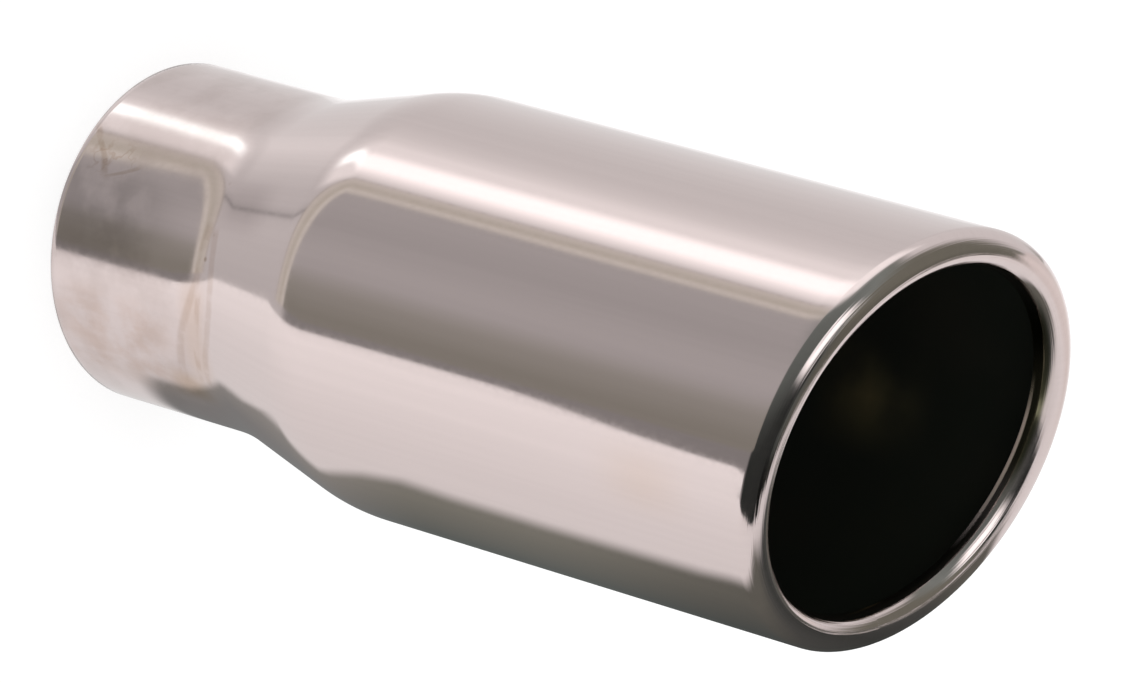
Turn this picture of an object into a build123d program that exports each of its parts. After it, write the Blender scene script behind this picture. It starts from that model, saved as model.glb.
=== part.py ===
"""Rolled-edge, slash-cut exhaust tip, formed from one piece of stainless steel tube.

Millimetres. +Z runs along the tube's axis, from the inlet to the outlet. The origin is the centre of
the inlet's end face, on which the tip stands. The long side of the slashed mouth is towards -X.
"""

import os
from math import atan, radians, tan

from build123d import *

# Sheet and the two round diameters, both measured outside
WALL = 1.2
INLET_DIAMETER = 61.4
BODY_DIAMETER = 76.2

# Lengths along the axis: the first two to the corners that the blends round off, the last to the
# middle of the mouth
NECK_LENGTH = 35.6
CONE_LENGTH = 28.5
LENGTH = 175.5

# Blends between neck, cone and body, measured on the outside of the sheet
THROAT_RADIUS = 45.0
SHOULDER_RADIUS = 38.0

# Slashed mouth: how far its plane leans from square, the roll of its edge on the outside of the
# sheet, how far the sheet runs back past the roll, and the flat polished on the roll's crest
SLASH_ANGLE = 13.05
ROLL_RADIUS = 3.25
ROLL_RETURN = 1.0
CREST_FLAT = 0.1

# Saw-cut inlet end, its outer edge broken
EDGE_BREAK = 0.3

inlet_radius = INLET_DIAMETER / 2
body_radius = BODY_DIAMETER / 2
mouth_radius = body_radius - 2 * ROLL_RADIUS
cone_angle = atan((body_radius - inlet_radius) / CONE_LENGTH)
tallest = LENGTH + 2 * body_radius * tan(radians(SLASH_ANGLE))


def mouth_plane(depth):
    """The slash plane, moved back into the tube by depth, measured square to the plane."""
    return Plane((0, 0, LENGTH)).rotated((0, SLASH_ANGLE, 0)).offset(-depth)


def formed_outline(inset):
    """Solid of revolution with the tube's outline, inset into the sheet and taller than the slash."""
    neck, body = inlet_radius - inset, body_radius - inset
    step = inset * tan(cone_angle / 2)
    throat, shoulder = NECK_LENGTH + step, NECK_LENGTH + CONE_LENGTH + step
    side = FilletPolyline(
        (neck, 0, 0),
        (neck, 0, throat),
        (body, 0, shoulder),
        (body, 0, tallest),
        radius=[THROAT_RADIUS + inset, SHOULDER_RADIUS - inset],
    )
    rest = Polyline((body, 0, tallest), (0, 0, tallest), (0, 0, 0), (neck, 0, 0))
    return revolve(make_face([*side.edges(), *rest.edges()]), Axis.Z)


def post(radius):
    """Round post on the axis, from the middle of the tip to above the mouth."""
    return Pos(0, 0, LENGTH / 2) * Cylinder(radius, tallest, align=(Align.CENTER, Align.CENTER, Align.MIN))


def top_edges(solid, plane):
    """The solid's edges that lie in the plane."""
    def height(edge, at):
        return abs(plane.to_local_coords(edge.position_at(at)).Z)
    return [e for e in solid.edges() if height(e, 0.2) < 1e-4 and height(e, 0.7) < 1e-4]


def rolled_crest(solid, inset):
    """The solid cut off by the slash plane, less inset, and both edges of the cut rounded over."""
    plane = mouth_plane(inset)
    cut = split(solid, bisect_by=plane, keep=Keep.BOTTOM)
    return fillet(top_edges(cut, plane), ROLL_RADIUS - inset - CREST_FLAT / 2)


def inside_of_roll():
    """The ring of space between the body's wall and the sheet that the roll turns back."""
    return rolled_crest(post(body_radius - WALL) - post(mouth_radius + WALL), WALL)


def inside_of_tube():
    """The inside of neck, cone and body, up to where the rolled sheet ends."""
    return split(formed_outline(WALL), bisect_by=mouth_plane(ROLL_RADIUS + ROLL_RETURN), keep=Keep.BOTTOM)


def exhaust_tip():
    """Neck, cone, body and rolled mouth, as the one piece of sheet that they are."""
    tip = rolled_crest(formed_outline(0) - post(mouth_radius), 0)
    tip -= inside_of_tube()
    tip -= inside_of_roll()
    rim = tip.edges().filter_by(GeomType.CIRCLE).group_by(Axis.Z)[0].sort_by(SortBy.RADIUS)[-1]
    return chamfer(rim, EDGE_BREAK)


if __name__ == "__main__":
    os.makedirs("parts", exist_ok=True)
    tip = exhaust_tip()
    export_step(tip, "parts/exhaust_tip.step")
    print(f"exhaust_tip: {tip.volume / 1000:.1f} cm3, {tip.bounding_box().size}")
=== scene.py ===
"""The looks of the exhaust tip: one sheet of polished steel, its stage, lights and camera. Metres."""

from math import atan, cos, pi, radians, sin, tan

import bpy
from mathutils import Matrix, Vector


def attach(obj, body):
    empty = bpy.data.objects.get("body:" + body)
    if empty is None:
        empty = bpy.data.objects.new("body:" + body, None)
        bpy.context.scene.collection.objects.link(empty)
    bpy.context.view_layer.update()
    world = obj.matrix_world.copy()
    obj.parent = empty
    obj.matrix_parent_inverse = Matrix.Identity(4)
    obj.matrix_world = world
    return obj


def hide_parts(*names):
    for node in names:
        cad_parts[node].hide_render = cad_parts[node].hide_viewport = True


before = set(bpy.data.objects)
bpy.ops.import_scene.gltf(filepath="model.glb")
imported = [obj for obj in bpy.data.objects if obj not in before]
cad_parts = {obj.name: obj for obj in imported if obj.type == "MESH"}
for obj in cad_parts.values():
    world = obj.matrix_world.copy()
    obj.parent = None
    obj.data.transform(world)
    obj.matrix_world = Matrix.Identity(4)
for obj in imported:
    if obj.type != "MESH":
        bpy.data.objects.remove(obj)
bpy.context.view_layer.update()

# The tip's sizes, as in the part's source
WALL = 0.0012
INLET_RADIUS = 0.0307
BODY_RADIUS = 0.0381
NECK_LENGTH = 0.0356
CONE_LENGTH = 0.0285
LENGTH = 0.1755
THROAT_RADIUS = 0.045
SHOULDER_RADIUS = 0.038
SLASH_ANGLE = radians(13.05)
ROLL_RADIUS = 0.00325
ROLL_RETURN = 0.001
EDGE_BREAK = 0.0003
CONE_ANGLE = atan((BODY_RADIUS - INLET_RADIUS) / CONE_LENGTH)
ROLL_CENTRE = BODY_RADIUS - ROLL_RADIUS
MOUTH_RADIUS = BODY_RADIUS - 2 * ROLL_RADIUS

# How far the sheet's end at the mouth is eased, as a share of its thickness
END_EASE = 0.08

# Mesh fineness: columns round the tube, and rows along each stretch of the sheet
COLUMNS = 360
NECK_ROWS = 24
BLEND_ROWS = 20
CONE_ROWS = 10
BODY_ROWS = 36
ROLL_ROWS = 28
INSIDE_ROWS = 12

# The way that was up in the photograph, as an angle about +Z from +X, and the camera that saw it
PHOTO_UP = radians(-164.9)
CAMERA_AZIMUTH = radians(-8.81)
CAMERA_ELEVATION = radians(40.305)
CAMERA_ROLL = radians(-105.99)
CAMERA_DISTANCE = 1.5508
CAMERA_AIM = Vector((-0.00023, 0.00004, 0.09491))
CAMERA_LENS = 288.34

# Where the lamp over the mouth stood: its angle round the tip in degrees, and its height
LAMP_ANGLE = 48
LAMP_HEIGHT = radians(59)

# The tent: how far it goes round the tip to each side of the photograph's up, its foot and its top,
# which is level with the mouth, and its reach from the axis by angle in degrees. Its upper patches are
# placed as seen from the mouth, the lower ones as seen from the shoulder.
TENT_SIDE = 92
TENT_STEPS = 92
TENT_FOOT = -3.0
MOUTH_LEVEL = 0.16
SHOULDER_LEVEL = 0.065
TENT_REACH = [(-92, 0.7), (-60, 0.42), (-30, 0.29), (0, 0.255), (30, 0.255), (50, 0.29), (70, 0.36), (92, 0.48)]

# The polish, and the colours painted at the mouth: painted shade on the roll and a painted highlight on the return
STEEL = (0.73, 0.625, 0.61)
PAINTED_HIGHLIGHT_RETURN = (0.53, 0.42, 0.36)
OLIVE_PAINTED_SHADE = (0.28, 0.32, 0.08)
FAR_ROLL_PAINTED_SHADE = (0.27, 0.29, 0.2)


# The sheet's form

def outline_rows(inset):
    """Rows (radius, height) up the side of neck, cone and body, inset into the sheet, to the shoulder."""
    neck, body = INLET_RADIUS - inset, BODY_RADIUS - inset
    step = inset * tan(CONE_ANGLE / 2)
    throat, shoulder = THROAT_RADIUS + inset, SHOULDER_RADIUS - inset
    throat_cut, shoulder_cut = (r * tan(CONE_ANGLE / 2) for r in (throat, shoulder))
    corner_low, corner_high = NECK_LENGTH + step, NECK_LENGTH + CONE_LENGTH + step
    start = EDGE_BREAK if inset == 0 else 0.0
    neck_top = corner_low - throat_cut
    rows = [(neck, start + (neck_top - start) * i / NECK_ROWS) for i in range(NECK_ROWS)]
    for i in range(BLEND_ROWS):
        turn = CONE_ANGLE * i / BLEND_ROWS
        rows.append((neck + throat * (1 - cos(turn)), neck_top + throat * sin(turn)))
    cone_start = (neck + throat * (1 - cos(CONE_ANGLE)), neck_top + throat * sin(CONE_ANGLE))
    body_start = corner_high + shoulder_cut
    cone_end = (body - shoulder * (1 - cos(CONE_ANGLE)), body_start - shoulder * sin(CONE_ANGLE))
    for i in range(CONE_ROWS):
        share = i / CONE_ROWS
        rows.append(tuple(a + (b - a) * share for a, b in zip(cone_start, cone_end)))
    for i in range(BLEND_ROWS + 1):
        turn = CONE_ANGLE * (1 - i / BLEND_ROWS)
        rows.append((body - shoulder * (1 - cos(turn)), body_start - shoulder * sin(turn)))
    return rows


def slash_height(radius, around, depth):
    """Height of the slash plane, moved back by depth, over a point at this radius and angle."""
    return LENGTH - depth / cos(SLASH_ANGLE) - radius * cos(around) * tan(SLASH_ANGLE)


def roll_point(around, turn, radius):
    """A point on the roll: turn 0 is where it leaves the wall, pi is where it faces the axis."""
    out = Vector((cos(around), sin(around), 0))
    along = Vector((-sin(around), cos(around), sin(around) * tan(SLASH_ANGLE)))
    up = out.cross(along.normalized())
    middle = out * ROLL_CENTRE + Vector((0, 0, slash_height(ROLL_CENTRE, around, ROLL_RADIUS)))
    return middle + (out * cos(turn) + up * sin(turn)) * radius


def on_circle(radius, height, around):
    return Vector((radius * cos(around), radius * sin(around), height))


def section(around):
    """The closed section of the sheet at an angle: outer wall, roll, return, inner wall. Gives the
    points in order and the index of the first one that is inside."""
    outer = [on_circle(r, z, around) for r, z in outline_rows(0)]
    shoulder_top = outer[-1].z
    roll_start = slash_height(ROLL_CENTRE, around, ROLL_RADIUS)
    for i in range(1, BODY_ROWS):
        outer.append(on_circle(BODY_RADIUS, shoulder_top + (roll_start - shoulder_top) * i / BODY_ROWS, around))
    for i in range(ROLL_ROWS + 1):
        outer.append(roll_point(around, pi * i / ROLL_ROWS, ROLL_RADIUS))
    mouth, hollow = MOUTH_RADIUS, MOUTH_RADIUS + WALL
    ends = [slash_height(r, around, ROLL_RADIUS + ROLL_RETURN) for r in (mouth, hollow)]
    low, ease = outer[-1].z, END_EASE * WALL
    for share in (0.35, 0.7, 0.94):
        outer.append(on_circle(mouth, low + (ends[0] - low) * share, around))
    rim = [on_circle(mouth + ease, ends[0], around), on_circle(hollow - ease, ends[1], around)]
    inner = [on_circle(hollow, low + (ends[1] - low) * share, around) for share in (0.9, 0.5)]
    inner += [roll_point(around, pi * (1 - i / ROLL_ROWS), ROLL_RADIUS - WALL) for i in range(ROLL_ROWS + 1)]
    side = [on_circle(r, z, around) for r, z in outline_rows(WALL)]
    top, low = inner[-1].z, side[-1].z
    for i in range(1, INSIDE_ROWS):
        inner.append(on_circle(BODY_RADIUS - WALL, top + (low - top) * i / INSIDE_ROWS, around))
    inner += side[::-1]
    foot = [on_circle(INLET_RADIUS - EDGE_BREAK, 0.0, around)]
    return outer + rim + inner + foot, len(outer) + len(rim)


def tip_mesh():
    """The whole sheet as one closed mesh; its inside, from the rim on, takes the second material."""
    columns = [section(2 * pi * c / COLUMNS) for c in range(COLUMNS)]
    rows, inside_from = len(columns[0][0]), columns[0][1]
    points = [p for column, _ in columns for p in column]
    faces, marks = [], []
    for c in range(COLUMNS):
        here, there = c * rows, (c + 1) % COLUMNS * rows
        for r in range(rows):
            above = (r + 1) % rows
            faces.append((here + r, there + r, there + above, here + above))
            marks.append(1 if inside_from <= r < rows - 2 else 0)
    mesh = bpy.data.meshes.new("exhaust_tip_sheet")
    mesh.from_pydata(points, [], faces)
    mesh.polygons.foreach_set("material_index", marks)
    mesh.polygons.foreach_set("use_smooth", [True] * len(faces))
    mesh.update()
    return mesh


# Shader building blocks

def feed(tree, socket, value):
    """Sets the socket to a number or colour, or links another node's output to it."""
    if isinstance(value, tuple):
        socket.default_value = (*value, 1)
    elif isinstance(value, (int, float)):
        socket.default_value = value
    else:
        tree.links.new(value, socket)


def math_node(tree, operation, *values):
    node = tree.nodes.new("ShaderNodeMath")
    node.operation = operation
    for socket, value in zip(node.inputs, values):
        feed(tree, socket, value)
    return node.outputs[0]


def times(tree, *values):
    product = values[0]
    for value in values[1:]:
        product = math_node(tree, "MULTIPLY", product, value)
    return product


def plus(tree, first, second):
    return math_node(tree, "ADD", first, second)


def less(tree, first, second):
    return math_node(tree, "SUBTRACT", first, second)


def apart(tree, first, second):
    """How far apart two values are, whichever is the larger."""
    return math_node(tree, "ABSOLUTE", less(tree, first, second))


def smooth(tree, value, low, high):
    """0 at low, 1 at high and a smooth step between; low may be the larger."""
    node = tree.nodes.new("ShaderNodeMapRange")
    node.interpolation_type = "SMOOTHSTEP"
    feed(tree, node.inputs["Value"], value)
    node.inputs["From Min"].default_value = min(low, high)
    node.inputs["From Max"].default_value = max(low, high)
    node.inputs["To Min"].default_value = 0.0 if low < high else 1.0
    node.inputs["To Max"].default_value = 1.0 if low < high else 0.0
    return node.outputs["Result"]


def between(tree, value, low, high):
    """1 between two soft edges, each a pair of values: where it is 0, and where it is 1."""
    return times(tree, smooth(tree, value, *low), smooth(tree, value, *high))


def ramp(tree, value, low, high, stops):
    """A colour ramp over value from low to high. Each stop is (value, colour or grey)."""
    scaled = math_node(tree, "DIVIDE", less(tree, value, low), high - low)
    node = tree.nodes.new("ShaderNodeValToRGB")
    tree.links.new(scaled, node.inputs["Fac"])
    elements = node.color_ramp.elements
    while len(elements) < len(stops):
        elements.new(0.5)
    for element, (at, colour) in zip(elements, stops):
        element.position = (at - low) / (high - low)
        element.color = (colour, colour, colour, 1) if isinstance(colour, (int, float)) else (*colour, 1)
    return node.outputs["Color"]


def mix(tree, share, first, second, blend="MIX"):
    node = tree.nodes.new("ShaderNodeMix")
    node.data_type = "RGBA"
    node.blend_type = blend
    for name, value in (("Factor", share), ("A", first), ("B", second)):
        feed(tree, node.inputs[name], value)
    return node.outputs["Result"]


def tint(tree, colour, share, by):
    """The colour multiplied by another, as far as share says."""
    return mix(tree, share, colour, by, "MULTIPLY")


def combine(tree, *values):
    node = tree.nodes.new("ShaderNodeCombineXYZ")
    for socket, value in zip(node.inputs, values):
        feed(tree, socket, value)
    return node.outputs[0]


def noise(tree, vector, scale, detail=3.0):
    node = tree.nodes.new("ShaderNodeTexNoise")
    tree.links.new(vector, node.inputs["Vector"])
    node.inputs["Scale"].default_value = scale
    node.inputs["Detail"].default_value = detail
    return node.outputs["Fac"]


def soft_patch(tree, across, along, middle, half, soft):
    """1 inside a patch and 0 outside, soft at its edge. Middle, half size and softness are pairs, in
    the units of the two values that it lies across and along."""
    shares = []
    for value, centre, reach, blur in zip((across, along), middle, half, soft):
        shares.append(smooth(tree, apart(tree, value, centre), reach + blur / 2, reach - blur / 2))
    return times(tree, *shares)


def thin_line(tree, around, rise, path, reach):
    """1 on a thin line that follows path, heights in mm by angle, and 0 beside it and past its ends."""
    low, high = path[0][0], path[-1][0]
    tallest = 100
    at = times(tree, ramp(tree, around, low, high, [(angle, z / tallest) for angle, z in path]), tallest)
    ends = between(tree, around, (low - 2, low + 2), (high + 2, high - 2))
    return times(tree, smooth(tree, apart(tree, rise, at), reach, 0.3 * reach), ends)


def photo_axes(tree, vector):
    """The vector's shares along the photograph's up, along its camera side, and along the tip."""
    turn = tree.nodes.new("ShaderNodeVectorRotate")
    turn.rotation_type = "Z_AXIS"
    turn.inputs["Angle"].default_value = -PHOTO_UP
    tree.links.new(vector, turn.inputs["Vector"])
    split = tree.nodes.new("ShaderNodeSeparateXYZ")
    tree.links.new(turn.outputs[0], split.inputs[0])
    return split.outputs


def angle_round(tree, x, y):
    """Angle round the tip in degrees: 0 is the photograph's up, 90 its camera side."""
    return times(tree, math_node(tree, "ARCTAN2", y, x), 180 / pi)


def place_on_tip(tree):
    """Object coordinates, and from them the angle round the tip in degrees and the height in mm."""
    place = tree.nodes.new("ShaderNodeTexCoord").outputs["Object"]
    up, side, level = photo_axes(tree, place)
    return place, angle_round(tree, up, side), times(tree, level, 1000.0)


# Materials

def new_material(name):
    material = bpy.data.materials.new(name)
    material.use_nodes = True
    return material, material.node_tree, material.node_tree.nodes["Principled BSDF"]


def soft_marks(tree, base, place, around, rise):
    """Patches of the polish that are duller, smeared or stained, mostly on neck and throat."""
    dull = times(tree, soft_patch(tree, around, rise, (68, 8), (16, 13), (14, 12)),
                 smooth(tree, noise(tree, place, 120.0), 0.28, 0.56))
    base = tint(tree, base, dull, (0.78, 0.78, 0.78))
    streaks = noise(tree, combine(tree, times(tree, around, 0.035), times(tree, rise, 0.05), 0.0), 3.2, 3.0)
    smear = times(tree, soft_patch(tree, around, rise, (110, 15), (16, 13), (14, 12)),
                  smooth(tree, streaks, 0.3, 0.7))
    base = tint(tree, base, smear, (0.9, 0.84, 0.79))
    for middle, half, soft, colour in (
            ((53, 44), (7, 6), (10, 9), (0.82, 0.81, 0.81)),
            ((64, 13), (9, 15), (10, 12), (0.87, 0.87, 0.87)),
            ((98, 36), (17, 3), (14, 5), (0.94, 0.89, 0.83)),
            # The fourth patch, on the neck's underside at the left end of the reflected contact shadow, is darker
            # and browner.
            ((121, 31), (5, 4), (8, 7), (0.86, 0.78, 0.66)),
            ((95, 148), (7, 7), (12, 14), (0.98, 0.95, 0.91))):
        base = tint(tree, base, soft_patch(tree, around, rise, middle, half, soft), colour)
    return base


def fine_marks(tree, base, place, around, rise):
    """A crackled spot at the inlet, broken lines at the throat and by the spot, and a few specks."""
    folds = apart(tree, noise(tree, place, 300.0, 2.0), 0.5)
    crackle = times(tree, soft_patch(tree, around, rise, (48, 8), (5, 5), (7, 5)), smooth(tree, folds, 0.045, 0.0))
    base = tint(tree, base, crackle, (0.88, 0.84, 0.8))

    broken = smooth(tree, noise(tree, place, 260.0, 3.0), 0.3, 0.56)
    throat, spot = (0.89, 0.86, 0.83), (0.85, 0.81, 0.76)
    for path, reach, colour in (
            ([(60, 37), (75, 36.9), (80, 36.6), (86, 35.4), (94, 33.6), (104, 31.6), (118, 30)], 1.5, throat),
            ([(62, 39), (72, 40.3), (79, 40.9), (87, 41.1), (97, 40.1), (106, 38.2), (116, 37)], 1.3, throat),
            ([(84, 37.6), (92, 37.2), (104, 36), (116, 35)], 1.1, throat),
            ([(38, 1), (43, 3.3), (48, 6.3), (54, 8.2)], 1.2, spot),
            ([(48.5, 15.5), (50, 14.4), (52, 12.3), (54.5, 9)], 1.2, spot)):
        base = tint(tree, base, times(tree, thin_line(tree, around, rise, path, reach), broken), colour)

    dots = tree.nodes.new("ShaderNodeTexVoronoi")
    tree.links.new(place, dots.inputs["Vector"])
    dots.inputs["Scale"].default_value = 300.0
    specks = times(tree, soft_patch(tree, around, rise, (62, 37), (14, 2), (10, 3)),
                   smooth(tree, dots.outputs["Distance"], 0.2, 0.08))
    base = tint(tree, base, specks, (0.68, 0.63, 0.56))

    brushed = noise(tree, combine(tree, times(tree, around, 0.5), times(tree, rise, 0.012), 0.0), 1.0, 2.0)
    return tint(tree, base, smooth(tree, brushed, 0.35, 0.65), (0.985, 0.985, 0.985))


def mouth_painted_shade_and_highlight(tree, base, around, out, slash):
    """Painted shade and a painted highlight on the far side of the mouth: the roll's inner face darkened with
    painted shade, an olive painted shade over it that also dulls the steel a little, and a pale, matt return that
    stands in for the bright line at the sheet's end, a painted highlight. Out is the distance from the axis, and
    slash the height with the slope of the cut taken off, so that the cut is at LENGTH. Gives the colour, and how
    matt the steel is."""
    past_mouth = math_node(tree, "DIVIDE", less(tree, out, MOUTH_RADIUS), WALL)  # in sheet thicknesses
    roll_end = LENGTH - ROLL_RADIUS / cos(SLASH_ANGLE)
    # Painted shade: darkens the roll's inner face on the far side only.
    far_roll_shade = times(tree, smooth(tree, past_mouth, 0.7, 0.25), between(tree, around, (-128, -108), (-42, -62)))
    base = tint(tree, base, far_roll_shade, FAR_ROLL_PAINTED_SHADE)
    # Olive painted shade over the far side of the roll, which also dulls the steel a little.
    olive_shade_and_dull = times(tree, smooth(tree, past_mouth, 1.3, 0.5), between(tree, around, (-140, -115), (-66, -88)),
                 smooth(tree, slash, roll_end + ROLL_RADIUS, roll_end + 0.7 * ROLL_RADIUS), 0.06)
    base = mix(tree, olive_shade_and_dull, base, OLIVE_PAINTED_SHADE)
    # Painted highlight: a pale, matt band on the far side's return stands in for the bright line at the sheet's
    # end.
    pale = times(tree, smooth(tree, past_mouth, 1.4, 0.8), between(tree, around, (-144, -112), (-78, -100)),
                 smooth(tree, slash, roll_end, roll_end - 0.4 * ROLL_RETURN))
    return mix(tree, pale, base, PAINTED_HIGHLIGHT_RETURN), math_node(tree, "MAXIMUM", pale, olive_shade_and_dull)


def polished_steel():
    """Mirror polish with the marks of the photographed tip, painted shade and a painted highlight at the mouth,
    and a ripple in the roll.
    """
    material, tree, shader = new_material("polished_steel")
    place, around, rise = place_on_tip(tree)
    axes = tree.nodes.new("ShaderNodeSeparateXYZ")
    tree.links.new(place, axes.inputs[0])
    x, y, z = axes.outputs
    out = math_node(tree, "SQRT", plus(tree, times(tree, x, x), times(tree, y, y)))
    slash = plus(tree, z, times(tree, x, tan(SLASH_ANGLE)))

    on_neck = smooth(tree, rise, 36, 31)
    cloud = noise(tree, place, 75.0, 5.0)
    base = tint(tree, STEEL, times(tree, on_neck, smooth(tree, cloud, 0.44, 0.66)), (0.9, 0.89, 0.88))
    base = soft_marks(tree, base, place, around, rise)
    base = fine_marks(tree, base, place, around, rise)
    base, matt = mouth_painted_shade_and_highlight(tree, base, around, out, slash)
    feed(tree, shader.inputs["Base Color"], base)
    feed(tree, shader.inputs["Metallic"], less(tree, 1.0, times(tree, matt, 0.9)))

    grain = smooth(tree, noise(tree, place, 900.0, 2.0), 0.3, 0.7)
    rough = plus(tree, 0.075, times(tree, grain, 0.035))
    rough = plus(tree, rough, times(tree, on_neck, smooth(tree, cloud, 0.4, 0.65), 0.05))
    feed(tree, shader.inputs["Roughness"], plus(tree, rough, times(tree, matt, 0.4)))

    on_roll = smooth(tree, slash, LENGTH - 0.95 * ROLL_RADIUS, LENGTH - 0.3 * ROLL_RADIUS)
    ripple = noise(tree, combine(tree, out, slash, times(tree, around, 0.000004)), 3500.0, 2.0)
    bump = tree.nodes.new("ShaderNodeBump")
    bump.inputs["Distance"].default_value = 0.0001
    feed(tree, bump.inputs["Strength"], times(tree, on_roll, 0.5))
    feed(tree, bump.inputs["Height"], ripple)
    feed(tree, shader.inputs["Normal"], bump.outputs[0])
    return material


def sooted_steel():
    """The inside: soot-black, with one lighter brown spot on its far wall."""
    material, tree, shader = new_material("sooted_steel")
    place, around, rise = place_on_tip(tree)
    patches = smooth(tree, noise(tree, place, 28.0, 3.0), 0.45, 0.7)
    soot = mix(tree, patches, (0.006, 0.009, 0.0035), (0.011, 0.011, 0.005))
    brown_spot = times(tree, soft_patch(tree, around, rise, (-105, 134), (7, 6), (22, 20)),
                 smooth(tree, noise(tree, place, 70.0), 0.25, 0.65))
    feed(tree, shader.inputs["Base Color"], mix(tree, brown_spot, soot, (0.11, 0.088, 0.034)))
    shader.inputs["Metallic"].default_value = 0.0
    shader.inputs["Roughness"].default_value = 0.75
    return material


def make_tip():
    mesh = tip_mesh()
    mesh.materials.append(polished_steel())
    mesh.materials.append(sooted_steel())
    tip = bpy.data.objects.new("exhaust_tip_sheet", mesh)
    bpy.context.scene.collection.objects.link(tip)
    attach(tip, "root")
    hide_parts("exhaust_tip")


# Studio. Its patches are placed by angle round the tip and height above level, both in degrees.

def only_reflected(obj):
    """Hides a card from everything but the reflections in the steel."""
    obj.visible_camera = False
    obj.visible_diffuse = False
    obj.visible_transmission = False
    obj.visible_shadow = False
    obj.visible_volume_scatter = False


def corner_distance(tree, angle, height, middle, half, power):
    """Distance from a rounded panel's middle, 1 at its edge, counted only towards its two open sides."""
    shares = []
    for value, centre, reach in zip((angle, height), middle, half):
        short = math_node(tree, "MAXIMUM", less(tree, centre, value), 0.0)
        shares.append(math_node(tree, "POWER", math_node(tree, "DIVIDE", short, reach), power))
    return math_node(tree, "POWER", plus(tree, *shares), 1 / power)


def framed_panel(tree, angle, height, room):
    """The dark panel at the camera's side, and the striped frame round it, over the colour of the room."""
    inner = corner_distance(tree, angle, height, (85, -33), (65, 22), 2.3)
    outer = corner_distance(tree, angle, height, (85, -33), (74, 30), 4)
    past = less(tree, inner, 1.0)
    left = math_node(tree, "MAXIMUM", less(tree, 1.0, outer), 0.0)
    share = math_node(tree, "DIVIDE", past, plus(tree, math_node(tree, "ABSOLUTE", past), left))
    frame_colour = ramp(tree, share, 0, 1, [
        (0, (0.57, 0.57, 0.53)), (0.1, (0.68, 0.67, 0.62)), (0.3, (0.72, 0.71, 0.66)),
        (0.42, (0.58, 0.57, 0.5)), (0.6, (0.56, 0.55, 0.49)), (0.75, (0.64, 0.63, 0.57)),
        (0.9, (0.68, 0.66, 0.61)), (0.97, (0.43, 0.42, 0.39))])
    panel = ramp(tree, angle, 0, 100, [
        (26, 0.46), (38, 0.43), (56, 0.485), (64, 0.46), (74, (0.345, 0.345, 0.32)), (88, (0.275, 0.275, 0.245))])
    dressed = mix(tree, smooth(tree, outer, 1.01, 0.985), room, frame_colour)
    return mix(tree, smooth(tree, inner, 1.01, 0.985), dressed, panel)


def studio_wall(tree, angle, height):
    """The tent's inside: pale walls, a strip light and a framed dark panel."""
    wall = ramp(tree, angle, -100, 100, [
        (-96, 0.82), (-88, 0.8), (-80, 0.79), (-64, 0.75), (-48, 0.72), (-33, 0.74), (-22, 0.84),
        (-14, 1.04), (8, 1.05), (12, 0.65), (28, 0.65), (100, 0.62)])
    low_wall = ramp(tree, angle, -100, 100, [
        (-96, 0.9), (-60, 0.84), (-38, 0.92), (-22, 0.8), (-8, 0.7), (4, 0.65), (18, 0.63), (23.5, 0.57),
        (26, 0.35), (29.5, 0.63), (40, 0.66), (95, 0.6)])
    dressed = framed_panel(tree, angle, height, mix(tree, smooth(tree, height, -50, -61), wall, low_wall))

    low = smooth(tree, height, -38.5, -46.5)
    aside = plus(tree, angle, times(tree, low, 8.5))
    aside = times(tree, aside, plus(tree, 1.0, times(tree, low, 0.22)))
    strip = times(tree, between(tree, aside, (-10, -3), (8.5, 1.5)), smooth(tree, height, -56, -48))
    return mix(tree, strip, dressed, mix(tree, low, (1.6, 1.6, 1.6), (1.8, 1.98, 1.98)))


def studio_ceiling(tree, angle, height):
    """What hung before the mouth and above it: a dark room, the walls' upper ends and a lamp."""
    warm, cool = (0.97, 1.0, 0.83), (0.9, 1.04, 0.98)
    dark = ramp(tree, angle, -180, 180, [(at, tuple(level * share for share in colour)) for at, level, colour in (
        (-180, 0.12, cool), (-140, 0.13, warm), (-110, 0.19, warm), (-85, 0.19, warm), (-30, 0.19, warm),
        (0, 0.26, cool), (30, 0.18, cool), (60, 0.14, cool), (85, 0.06, cool), (100, 0.035, cool),
        (130, 0.028, cool), (165, 0.03, cool), (180, 0.12, cool))])
    below = times(tree, smooth(tree, math_node(tree, "ABSOLUTE", angle), 145, 160),
                  between(tree, height, (30, 40), (61, 55)))
    dark = tint(tree, dark, below, (0.15, 0.15, 0.13))
    side = soft_patch(tree, angle, height, (-58, -20), (41, 50), (16, 26))
    strip = soft_patch(tree, angle, height, (-6, -19), (20, 23), (14, 16))

    aside, rise = (math_node(tree, "RADIANS", value) for value in (less(tree, angle, LAMP_ANGLE), height))
    level = math_node(tree, "COSINE", rise)
    forward = times(tree, level, math_node(tree, "COSINE", aside))
    over = less(tree, times(tree, math_node(tree, "SINE", rise), cos(LAMP_HEIGHT)),
                times(tree, forward, sin(LAMP_HEIGHT)))
    beside = times(tree, level, math_node(tree, "SINE", aside))
    lamp = soft_patch(tree, beside, over, (0, 0), (0.25, 0.3), (0.22, 0.22))

    lit = mix(tree, side, dark, (0.78, 0.78, 0.78))
    lit = mix(tree, strip, lit, (1.2, 1.2, 1.2))
    return mix(tree, lamp, lit, (1.6, 1.62, 1.62))


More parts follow.
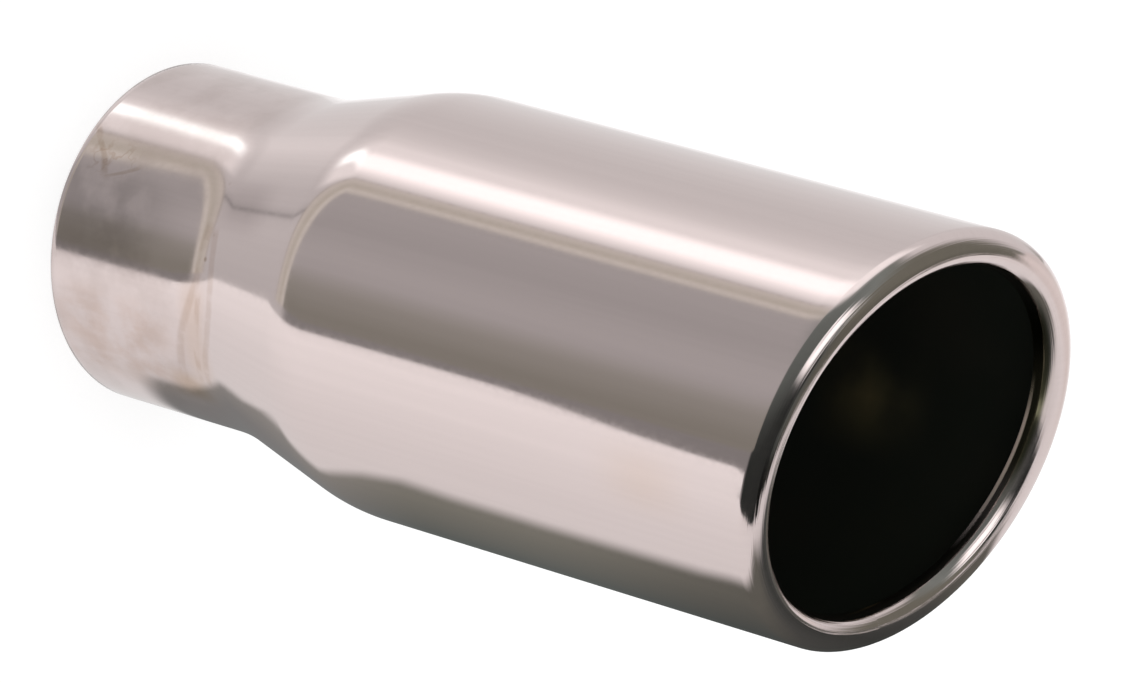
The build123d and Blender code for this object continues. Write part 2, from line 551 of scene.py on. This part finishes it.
def make_world():
    """The room round the tent and the card, which only the polish sees. All else sees plain white."""
    world = bpy.data.worlds.new("studio")
    bpy.context.scene.world = world
    world.use_nodes = True
    tree = world.node_tree
    tree.nodes.clear()
    coordinate = tree.nodes.new("ShaderNodeTexCoord")
    x, y, z = photo_axes(tree, coordinate.outputs["Generated"])
    angle = angle_round(tree, x, y)
    height = times(tree, math_node(tree, "ARCSINE", z), 180 / pi)
    low_room = ramp(tree, angle, -180, 180, [
        (-180, 0.9), (-100, 0.9), (-95, 0.8), (80, 0.3), (105, 0.26), (140, 0.9)])
    low_room = mix(tree, smooth(tree, height, -52, -60), low_room, (0.6, 0.6, 0.6))
    studio = mix(tree, smooth(tree, height, -36, -24), low_room, studio_ceiling(tree, angle, height))
    path = tree.nodes.new("ShaderNodeLightPath")
    seen = mix(tree, path.outputs["Is Glossy Ray"], (0.95, 0.95, 0.95), studio)
    seen = mix(tree, path.outputs["Is Camera Ray"], seen, (1.0, 1.0, 1.0))
    background = tree.nodes.new("ShaderNodeBackground")
    tree.links.new(seen, background.inputs["Color"])
    output = tree.nodes.new("ShaderNodeOutputWorld")
    tree.links.new(background.outputs[0], output.inputs["Surface"])


def emission_material(name):
    """A material that only glows. Gives it, its nodes, the position, and the socket for its colour."""
    material = bpy.data.materials.new(name)
    material.use_nodes = True
    tree = material.node_tree
    tree.nodes.clear()
    position = tree.nodes.new("ShaderNodeNewGeometry")
    emission = tree.nodes.new("ShaderNodeEmission")
    output = tree.nodes.new("ShaderNodeOutputMaterial")
    tree.links.new(emission.outputs[0], output.inputs["Surface"])
    return material, tree, position.outputs["Position"], emission.inputs["Color"]


def make_stage(name, points, faces):
    mesh = bpy.data.meshes.new(name)
    mesh.from_pydata(points, [], faces)
    stage = bpy.data.objects.new(name, mesh)
    bpy.context.scene.collection.objects.link(stage)
    return stage


def make_plane(name, corners):
    return make_stage(name, corners, [tuple(range(len(corners)))])


def make_tent():
    """The studio's tent: near over the tip, further off at the camera's side and behind."""
    points, faces = [], []
    for i in range(TENT_STEPS + 1):
        angle = -TENT_SIDE + 2 * TENT_SIDE * i / TENT_STEPS
        (a, near), (b, far) = next(pair for pair in zip(TENT_REACH, TENT_REACH[1:])
                                   if pair[0][0] <= angle <= pair[1][0])
        reach = near + (far - near) * (angle - a) / (b - a)
        turn = radians(angle) + PHOTO_UP
        points += [(reach * cos(turn), reach * sin(turn), z) for z in (TENT_FOOT, MOUTH_LEVEL)]
        if i:
            faces.append((2 * i - 2, 2 * i - 1, 2 * i + 1, 2 * i))
    tent = make_stage("tent", points, faces)
    only_reflected(tent)

    material, tree, position, colour = emission_material("tent")
    x, y, level = photo_axes(tree, position)
    reach = math_node(tree, "SQRT", plus(tree, times(tree, x, x), times(tree, y, y)))
    over_mouth, over_shoulder = (
        times(tree, math_node(tree, "ARCTAN2", less(tree, level, start), reach), 180 / pi)
        for start in (MOUTH_LEVEL, SHOULDER_LEVEL))
    angle = math_node(tree, "DIVIDE", less(tree, angle_round(tree, x, y), 4.6), 0.93)
    tree.links.new(mix(tree, smooth(tree, level, 0.0, 0.05), studio_wall(tree, angle, over_shoulder),
                       studio_ceiling(tree, angle, over_mouth)), colour)
    tent.data.materials.append(material)


def make_floor():
    """Pale floor under the inlet. It fades to the white background and keeps the tip's soft shadow."""
    half = 4.0
    floor = make_plane("floor", [(-half, -half, 0), (half, -half, 0), (half, half, 0), (-half, half, 0)])
    floor.visible_glossy = False
    material, tree, shader = new_material("pale_floor")
    shader.inputs["Base Color"].default_value = (0.45, 0.45, 0.45, 1)
    shader.inputs["Roughness"].default_value = 1.0
    shader.inputs["Specular IOR Level"].default_value = 0.0
    shader.inputs["Emission Color"].default_value = (1, 1, 1, 1)
    path = tree.nodes.new("ShaderNodeLightPath")
    tree.links.new(times(tree, path.outputs["Is Camera Ray"], 0.68), shader.inputs["Emission Strength"])
    floor.data.materials.append(material)


def make_bounce_card():
    """White card that lay under the tip in the photograph, dark where the tip shades it. Its corner
    before the mouth, on the camera's side, was cut away. Side and level are in metres, from the axis
    towards the camera and up from the inlet."""
    outline = [
        (-2.5, -3.0), (0.27, -3.0), (0.27, -0.68), (0.25, -0.5), (0.272, -0.36), (0.285, -0.3),
        (0.3, -0.255), (0.37, -0.225), (0.405, -0.2), (0.38, -0.173), (0.314, -0.104), (0.263, -0.048),
        (0.234, -0.008), (0.225, 0.02), (0.19, 0.06), (0.15, 0.09), (0.11, 0.11), (0.075, 0.178),
        (0.04, 0.206), (0.027, 0.22), (0.01, 0.23), (-0.015, 0.236), (-0.08, 0.237), (-0.11, 0.252),
        (-0.18, 0.297), (-0.27, 0.33), (-2.5, 0.97)]
    card = make_plane("bounce_card", [(-BODY_RADIUS, side, level) for side, level in outline])
    card.data.transform(Matrix.Rotation(PHOTO_UP, 4, "Z"))
    only_reflected(card)

    material, tree, position, colour = emission_material("bounce_card")
    _, side, level = photo_axes(tree, position)
    aside = math_node(tree, "ABSOLUTE", side)
    edge = ramp(tree, level, -0.02, 0.18, [
        (0.004, 0.0258), (0.011, 0.026), (0.018, 0.0295), (0.034, 0.028), (0.05, 0.028), (0.062, 0.034),
        (0.071, 0.0365), (0.083, 0.0357), (0.106, 0.0358), (0.141, 0.0368), (0.152, 0.0385), (0.165, 0.041)])
    leaning = plus(tree, level, times(tree, side, 0.24))
    # The tip's contact shadow, painted on the glowing card.
    shade = times(tree, smooth(tree, math_node(tree, "DIVIDE", aside, edge), 1.09, 0.89),
                  smooth(tree, level, -0.004, 0.004),
                  smooth(tree, leaning, 5.48 * BODY_RADIUS, 5.1 * BODY_RADIUS))
    dark = ramp(tree, aside, 0, BODY_RADIUS, [
        (0, (0.085, 0.095, 0.09)), (0.4 * BODY_RADIUS, (0.12, 0.132, 0.125)),
        (0.8 * BODY_RADIUS, (0.23, 0.24, 0.21))])
    dark = mix(tree, smooth(tree, level, 0.1, 0.16), dark, mix(tree, 0.4, dark, (0.0, 0.0, 0.0)))
    dark = mix(tree, smooth(tree, level, 0.08, 0.04), dark, mix(tree, 0.13, dark, (1.0, 0.97, 1.0)))
    # The card's pale glow is painted light, dimmer near the axis, and dimmed again before the mouth.
    pale = ramp(tree, aside, 0, 0.5, [
        (0, 0.76), (0.05, 0.88), (0.1, 1.0), (0.2, 1.07), (0.3, 1.04), (0.4, 0.97), (0.5, 0.94)])
    before_mouth = times(tree, smooth(tree, aside, 0.05, 0.11), smooth(tree, level, 0.13, 0.2))
    pale = tint(tree, pale, before_mouth, (0.83, 0.79, 0.77))
    tree.links.new(mix(tree, shade, pale, dark), colour)
    card.data.materials.append(material)


def make_camera():
    """The photograph's camera. It was held turned about its own axis, so the tip lies across the frame."""
    back = Vector((sin(CAMERA_AZIMUTH) * cos(CAMERA_ELEVATION),
                   -cos(CAMERA_AZIMUTH) * cos(CAMERA_ELEVATION), sin(CAMERA_ELEVATION)))
    level = Vector((cos(CAMERA_AZIMUTH), sin(CAMERA_AZIMUTH), 0))
    plumb = back.cross(level)
    up = plumb * cos(CAMERA_ROLL) + level * sin(CAMERA_ROLL)
    right = up.cross(back)
    data = bpy.data.cameras.new("camera")
    data.lens = CAMERA_LENS
    data.sensor_width = 36.0
    data.clip_end = 50.0
    camera = bpy.data.objects.new("camera", data)
    camera.matrix_world = Matrix.Translation(CAMERA_AIM + back * CAMERA_DISTANCE) @ Matrix(
        (right, up, back)).transposed().to_4x4()
    bpy.context.scene.collection.objects.link(camera)
    bpy.context.scene.camera = camera


bpy.context.scene.view_settings.view_transform = "Standard"
make_camera()
make_tip()
make_world()
make_tent()
make_floor()
make_bounce_card()
